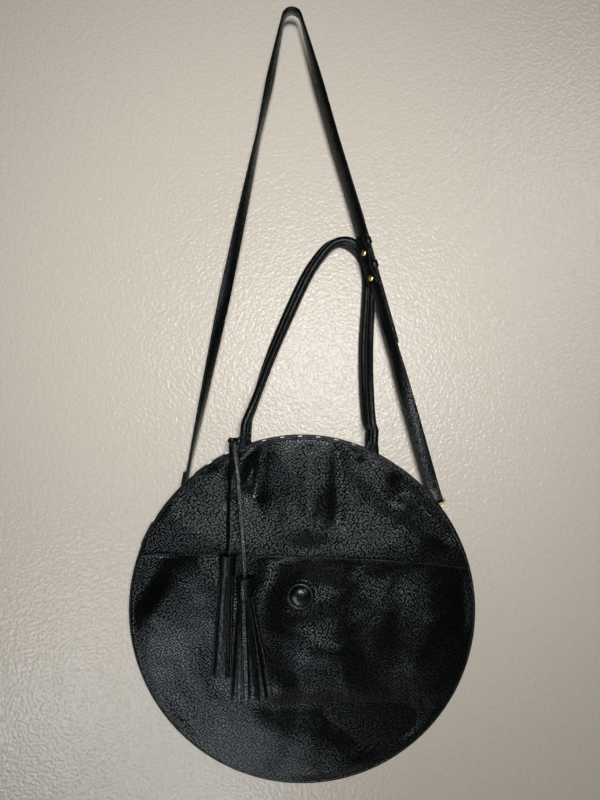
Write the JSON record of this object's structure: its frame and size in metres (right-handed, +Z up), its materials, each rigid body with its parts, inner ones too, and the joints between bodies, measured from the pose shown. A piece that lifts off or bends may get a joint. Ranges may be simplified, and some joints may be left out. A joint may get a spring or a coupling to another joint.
{
  "type": "circle tote bag",
  "caption": "Round black leather tote hung by its crossbody strap, with rolled handles, a front slip pocket, striped lining, tassels and swivel hooks.",
  "frame": {"origin": "where the inner face of the strap's bend rests on the peg that holds the bag up", "axes": "+X to the right of the bag, -Y out of its front (pocket) side, +Z up along the hanging strap"},
  "size_m": [0.41, 0.0947, 0.931],
  "materials": {
    "black_leather": "pebbled",
    "striped_lining": "woven",
    "brass": "polished",
    "steel": "brushed",
    "rope": "twisted"
  },
  "bodies": {
    "strap": {"long_strap": "black_leather", "lower_strap": "black_leather", "stud_tab": "black_leather", "strap_studs": "brass", "fixed_keeper": "black_leather", "left_strap_eye": "brass", "right_strap_eye": "brass"},
    "keeper": {"loose_keeper": "black_leather"},
    "left_hook": {"left_hook": "brass", "left_gate_pin": "steel", "left_gate_spring": "steel"},
    "left_gate": {"left_gate": "brass"},
    "right_hook": {"right_hook": "brass", "right_gate_pin": "steel", "right_gate_spring": "steel"},
    "right_gate": {"right_gate": "brass"},
    "bag": {"front_panel": "black_leather", "pocket_panel": "black_leather", "pocket_hem": "black_leather", "gusset": "black_leather", "back_panel_lower": "black_leather", "front_piping": "black_leather", "back_piping": "black_leather", "front_mouth_binding": "black_leather", "front_lining": "striped_lining", "gusset_lining": "striped_lining", "back_lining_lower": "striped_lining", "snap_cover": "black_leather", "snap_cap": "brass", "snap_socket": "brass", "snap_washer": "brass", "front_handle_ends": "black_leather", "front_patches": "black_leather", "front_magnet": "steel", "left_d_ring": "brass", "right_d_ring": "brass", "left_ring_tab": "black_leather", "right_ring_tab": "black_leather", "lace_loop": "black_leather"},
    "back_top": {"back_panel_upper": "black_leather", "back_lining_upper": "striped_lining", "back_mouth_binding": "black_leather", "back_handle_ends": "black_leather", "back_patches": "black_leather", "back_magnet": "steel"},
    "front_handle": {"front_handle": "black_leather", "front_handle_core": "rope"},
    "back_handle": {"back_handle": "black_leather", "back_handle_core": "rope"},
    "left_tassel": {"left_lace": "black_leather", "left_tassel_cap": "black_leather", "left_tassel_skirt": "black_leather"},
    "right_tassel": {"right_lace": "black_leather", "right_tassel_cap": "black_leather", "right_tassel_skirt": "black_leather"}
  },
  "joints": [
    {"name": "bag_swing", "type": "hinge", "parent": "strap", "child": "bag", "pos_m": [0.01595, 0, -0.6339], "axis": [-0.9991, 0, 0.0419], "range_deg": [0, 13]},
    {"name": "left_hook_swivel", "type": "hinge", "parent": "strap", "child": "left_hook", "pos_m": [-0.15452, 0, -0.61887], "axis": [0.5878, 0, 0.809], "range_deg": [-30, 30]},
    {"name": "right_hook_swivel", "type": "hinge", "parent": "strap", "child": "right_hook", "pos_m": [0.18708, 0, -0.63319], "axis": [-0.2706, 0, 0.9627], "range_deg": [-30, 30]},
    {"name": "left_gate_hinge", "type": "hinge", "parent": "left_hook", "child": "left_gate", "pos_m": [-0.15031, 0, -0.60339], "axis": [0, -1, 0], "range_deg": [0, 22], "stiffness_Nm_per_rad": 0.01, "springref_deg": -17.19},
    {"name": "right_gate_hinge", "type": "hinge", "parent": "right_hook", "child": "right_gate", "pos_m": [0.18851, 0, -0.61721], "axis": [0, 1, 0], "range_deg": [0, 22], "stiffness_Nm_per_rad": 0.01, "springref_deg": -17.19},
    {"name": "keeper_slide", "type": "slide", "parent": "strap", "child": "keeper", "axis": [0.2709, 0, -0.9626], "range_m": [-0.005, 0.005]},
    {"name": "mouth_open", "type": "hinge", "parent": "bag", "child": "back_top", "pos_m": [0.01542, 0.02982, -0.64647], "axis": [-0.9991, 0, 0.0419], "range_deg": [0, 20]},
    {"name": "back_handle_swing", "type": "hinge", "parent": "back_top", "child": "back_handle", "pos_m": [0.02107, 0.0225, -0.5118], "axis": [-0.9991, 0, 0.0419], "range_deg": [0, 45]},
    {"name": "front_handle_swing", "type": "hinge", "parent": "bag", "child": "front_handle", "pos_m": [0.02107, -0.0225, -0.5118], "axis": [-0.9991, 0, 0.0419], "range_deg": [0, 36]},
    {"name": "left_tassel_swing", "type": "hinge", "parent": "bag", "child": "left_tassel", "pos_m": [-0.0661, -0.029, -0.52606], "axis": [-0.9991, 0, 0.0419], "range_deg": [0, 60]},
    {"name": "right_tassel_swing", "type": "hinge", "parent": "bag", "child": "right_tassel", "pos_m": [-0.0661, -0.029, -0.52606], "axis": [-0.9991, 0, 0.0419], "range_deg": [0, 60]}
  ],
  "couplings": [
    {"joint": "front_handle_swing", "follows": "back_handle_swing", "ratio": 0.8}
  ]
}
